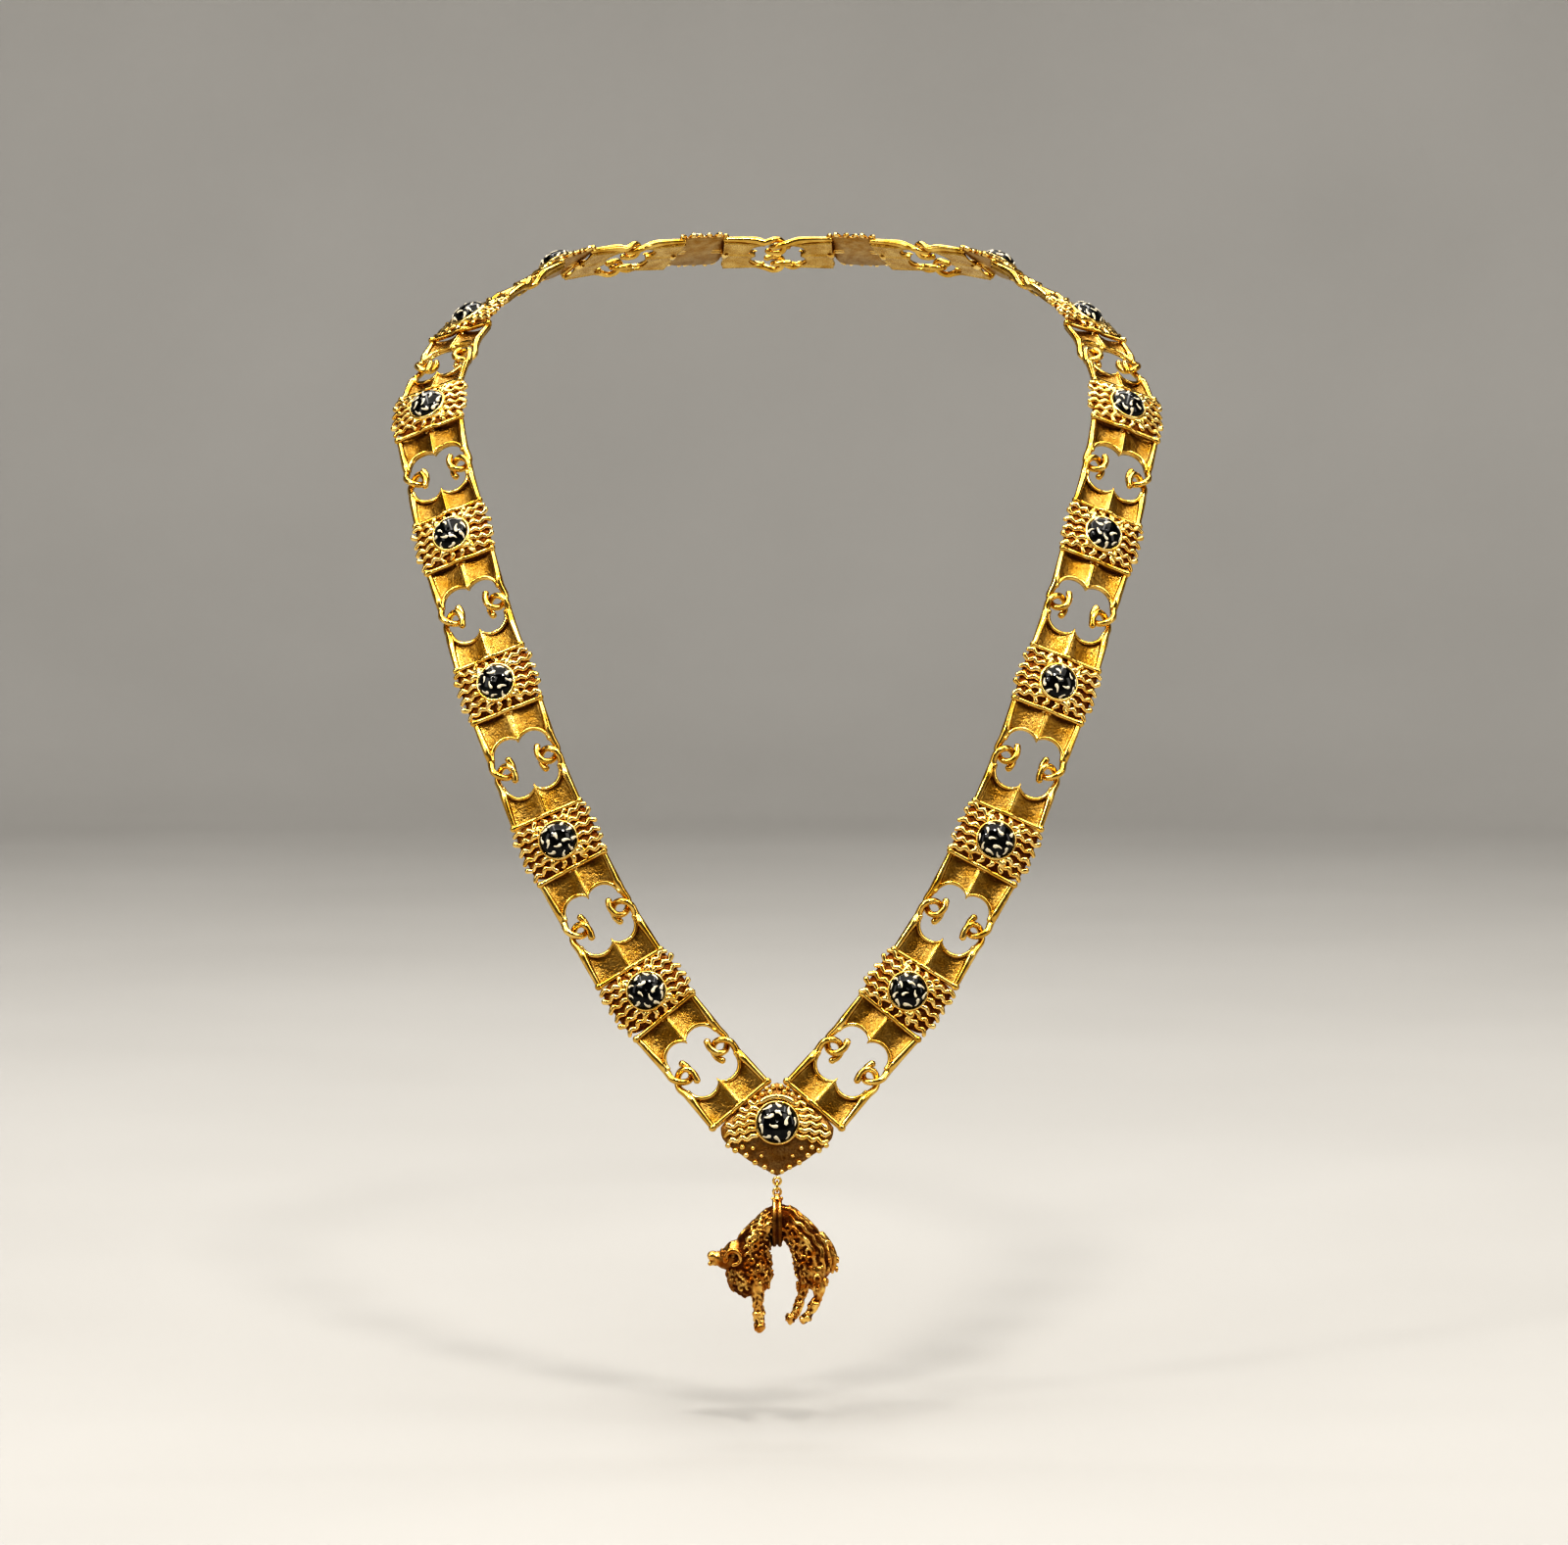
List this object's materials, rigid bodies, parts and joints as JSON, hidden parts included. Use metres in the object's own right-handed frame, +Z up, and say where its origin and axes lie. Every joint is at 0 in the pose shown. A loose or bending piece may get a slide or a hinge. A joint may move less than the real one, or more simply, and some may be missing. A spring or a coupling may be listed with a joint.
{
  "type": "livery collar",
  "caption": "Gold livery collar of flint plates with domed stones and flame rays, joined by pairs of hooked fire-steel links, with a hanging ram's fleece.",
  "frame": {"origin": "middle of the link that lies on the nape, where the wearer's neck carries the collar", "axes": "+Z up, +Y towards the wearer's back, +X to the right as seen from the front"},
  "size_m": [0.2478, 0.2493, 0.3366],
  "materials": {
    "steel": "polished gold, matt in the scoops",
    "flint": "polished gold rays on a dark ground, black stone with pale flecks",
    "fleece": "warm gold, dark in the wool"
  },
  "bodies": {
    "collar": {"flint_front": "flint", "flint_left_1": "flint", "flint_left_2": "flint", "flint_left_3": "flint", "flint_left_4": "flint", "flint_left_5": "flint", "flint_left_6": "flint", "flint_left_7": "flint", "flint_left_8": "flint", "flint_right_1": "flint", "flint_right_2": "flint", "flint_right_3": "flint", "flint_right_4": "flint", "flint_right_5": "flint", "flint_right_6": "flint", "flint_right_7": "flint", "flint_right_8": "flint", "steel_left_1": "steel", "steel_left_2": "steel", "steel_left_3": "steel", "steel_left_4": "steel", "steel_left_5": "steel", "steel_left_6": "steel", "steel_left_7": "steel", "steel_left_8": "steel", "steel_left_9": "steel", "steel_left_10": "steel", "steel_left_11": "steel", "steel_left_12": "steel", "steel_left_13": "steel", "steel_left_14": "steel", "steel_left_15": "steel", "steel_left_16": "steel", "steel_left_17": "steel", "steel_right_1": "steel", "steel_right_2": "steel", "steel_right_3": "steel", "steel_right_4": "steel", "steel_right_5": "steel", "steel_right_6": "steel", "steel_right_7": "steel", "steel_right_8": "steel", "steel_right_9": "steel", "steel_right_10": "steel", "steel_right_11": "steel", "steel_right_12": "steel", "steel_right_13": "steel", "steel_right_14": "steel", "steel_right_15": "steel", "steel_right_16": "steel", "steel_right_17": "steel"},
    "ring": {"jump_ring": "steel"},
    "pendant": {"belly_band": "fleece", "fleece": "fleece"}
  },
  "joints": [
    {"name": "pendant_sway", "type": "hinge", "parent": "collar", "child": "ring", "pos_m": [0, -0.23233, -0.28447], "axis": [0, 1, 0], "range_deg": [-60, 60]},
    {"name": "pendant_swing", "type": "hinge", "parent": "ring", "child": "pendant", "pos_m": [0, -0.23233, -0.28597], "axis": [1, 0, 0], "range_deg": [-60, 60]}
  ]
}
